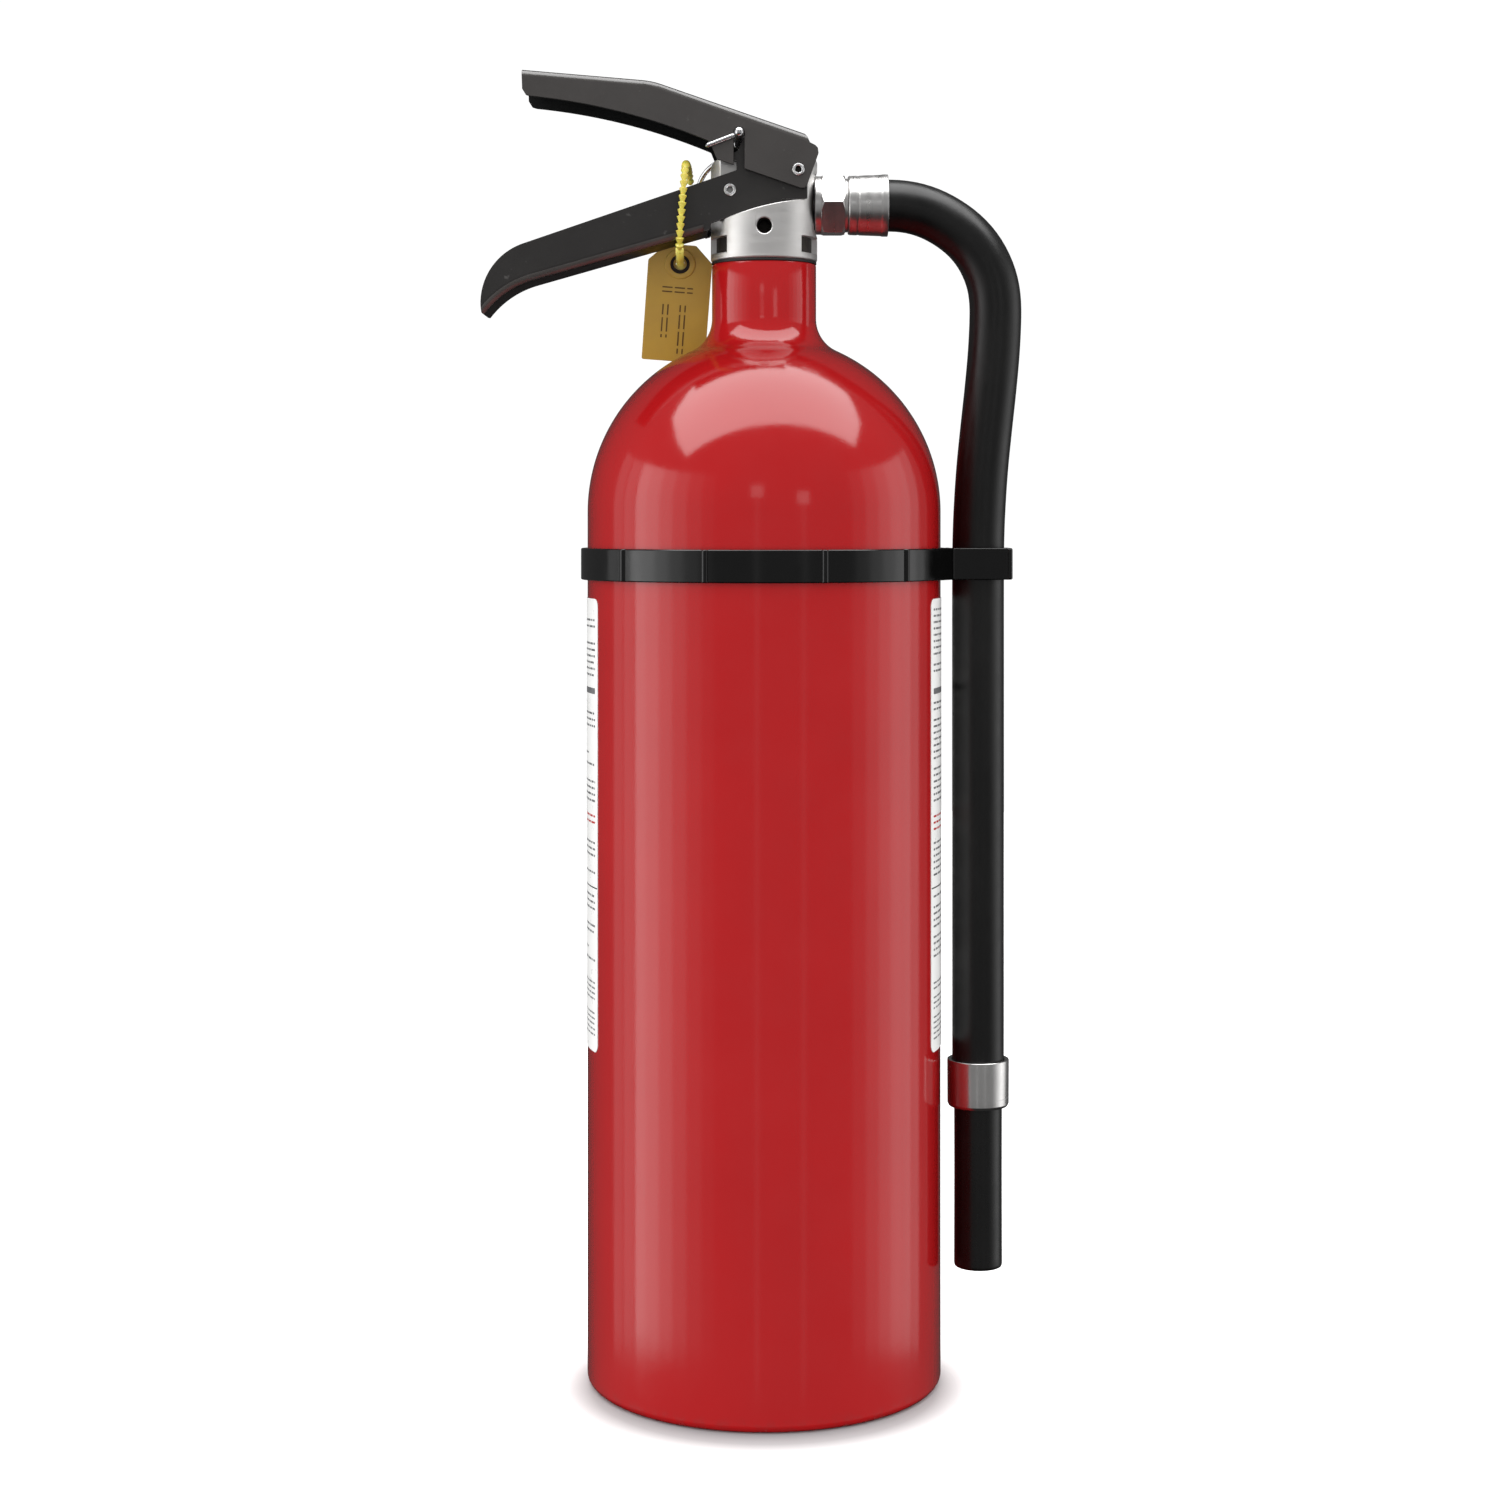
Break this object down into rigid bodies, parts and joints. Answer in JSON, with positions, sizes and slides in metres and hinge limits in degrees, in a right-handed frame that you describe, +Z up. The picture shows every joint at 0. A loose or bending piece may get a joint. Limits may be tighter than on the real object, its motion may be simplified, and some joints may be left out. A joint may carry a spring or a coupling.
{
  "type": "dry chemical fire extinguisher",
  "caption": "Hand-held dry chemical fire extinguisher with a squeeze-lever valve, pressure gauge, pull pin with ring and seal, and a clipped discharge hose.",
  "frame": {"origin": "centre of the base, on the cylinder's axis, in the plane that it stands on", "axes": "+Z up along the cylinder; +Y to the front, where the gauge and label face; +X to the hose side; the handles' tips point to -X and the hanger hole to -Y"},
  "size_m": [0.1648, 0.112, 0.3982],
  "materials": {
    "red_paint": "gloss powder coat",
    "label_vinyl": "satin printed vinyl",
    "powder": "fine powder",
    "gasket_rubber": "matte",
    "band_plastic": "satin",
    "valve_aluminium": "fine turned and cast",
    "inner_plastic": "moulded",
    "spring_steel": "drawn wire",
    "black_sheet": "satin black coat",
    "rivet_steel": "bright zinc",
    "gauge_chrome": "polished",
    "dial_white": "printed",
    "needle_black": "satin",
    "bourdon_brass": "drawn",
    "lens_clear": "clear moulded",
    "pin_steel": "bright zinc wire",
    "seal_yellow": "moulded",
    "tag_ochre": "moulded",
    "hose_rubber": "satin",
    "ferrule_aluminium": "brushed",
    "nozzle_plastic": "satin moulded"
  },
  "bodies": {
    "cylinder_assembly": {"cylinder_shell": "red_paint", "label": "label_vinyl", "dry_chemical": "powder", "neck_gasket": "gasket_rubber", "hose_band": "band_plastic", "valve_body": "valve_aluminium", "siphon_tube": "ferrule_aluminium", "siphon_adapter": "inner_plastic", "valve_spring": "spring_steel", "handle_rivet": "rivet_steel", "pivot_rivet": "rivet_steel", "carry_handle": "black_sheet", "gauge_case": "gauge_chrome", "bourdon_tube": "bourdon_brass", "gauge_dial": "dial_white", "gauge_lens": "lens_clear", "gauge_bezel": "gauge_chrome", "seal_strap": "seal_yellow", "coupling_gasket": "gasket_rubber"},
    "lever": {"squeeze_lever": "black_sheet", "pin_keeper": "pin_steel"},
    "stem": {"valve_stem": "spring_steel", "stem_seal": "gasket_rubber", "stem_o_ring": "gasket_rubber"},
    "needle": {"gauge_needle": "needle_black"},
    "pin": {"pull_pin": "pin_steel"},
    "ring": {"pull_ring": "pin_steel", "seal_strap_end": "seal_yellow"},
    "tag": {"seal_tag": "tag_ochre"},
    "hose_assembly": {"hex_coupling": "ferrule_aluminium", "upper_ferrule": "ferrule_aluminium", "hose": "hose_rubber", "lower_ferrule": "ferrule_aluminium", "nozzle": "nozzle_plastic"}
  },
  "joints": [
    {"name": "lever_squeeze", "type": "hinge", "parent": "cylinder_assembly", "child": "lever", "pos_m": [0.0103, 0, 0.3678], "axis": [0, -1, 0], "range_deg": [0, 12], "stiffness_Nm_per_rad": 2, "springref_deg": -11.46},
    {"name": "stem_slide", "type": "slide", "parent": "cylinder_assembly", "child": "stem", "axis": [0, 0, -1], "range_m": [0, 0.00275], "deforming": ["valve_spring"]},
    {"name": "needle_turn", "type": "hinge", "parent": "cylinder_assembly", "child": "needle", "pos_m": [0, 0.022, 0.3505], "axis": [0, 1, 0], "range_deg": [-25, 75], "stiffness_Nm_per_rad": 0.002},
    {"name": "pin_pull", "type": "slide", "parent": "lever", "child": "pin", "axis": [0, 1, 0], "range_m": [0, 0.045]},
    {"name": "ring_swing", "type": "hinge", "parent": "pin", "child": "ring", "pos_m": [-0.0076, 0.0175, 0.3756], "axis": [1, 0, 0], "range_deg": [0, 100]},
    {"name": "tag_swing", "type": "hinge", "parent": "cylinder_assembly", "child": "tag", "pos_m": [-0.0261, 0.0145, 0.342], "axis": [0, 0.9455, 0.3256], "range_deg": [0, 12]},
    {"name": "hose_swing", "type": "hinge", "parent": "cylinder_assembly", "child": "hose_assembly", "pos_m": [0.0156, 0, 0.3584], "axis": [1, 0, 0], "range_deg": [0, 90]}
  ],
  "couplings": [
    {"joint": "stem_slide", "follows": "lever_squeeze", "m_per_rad": 0.0129}
  ]
}
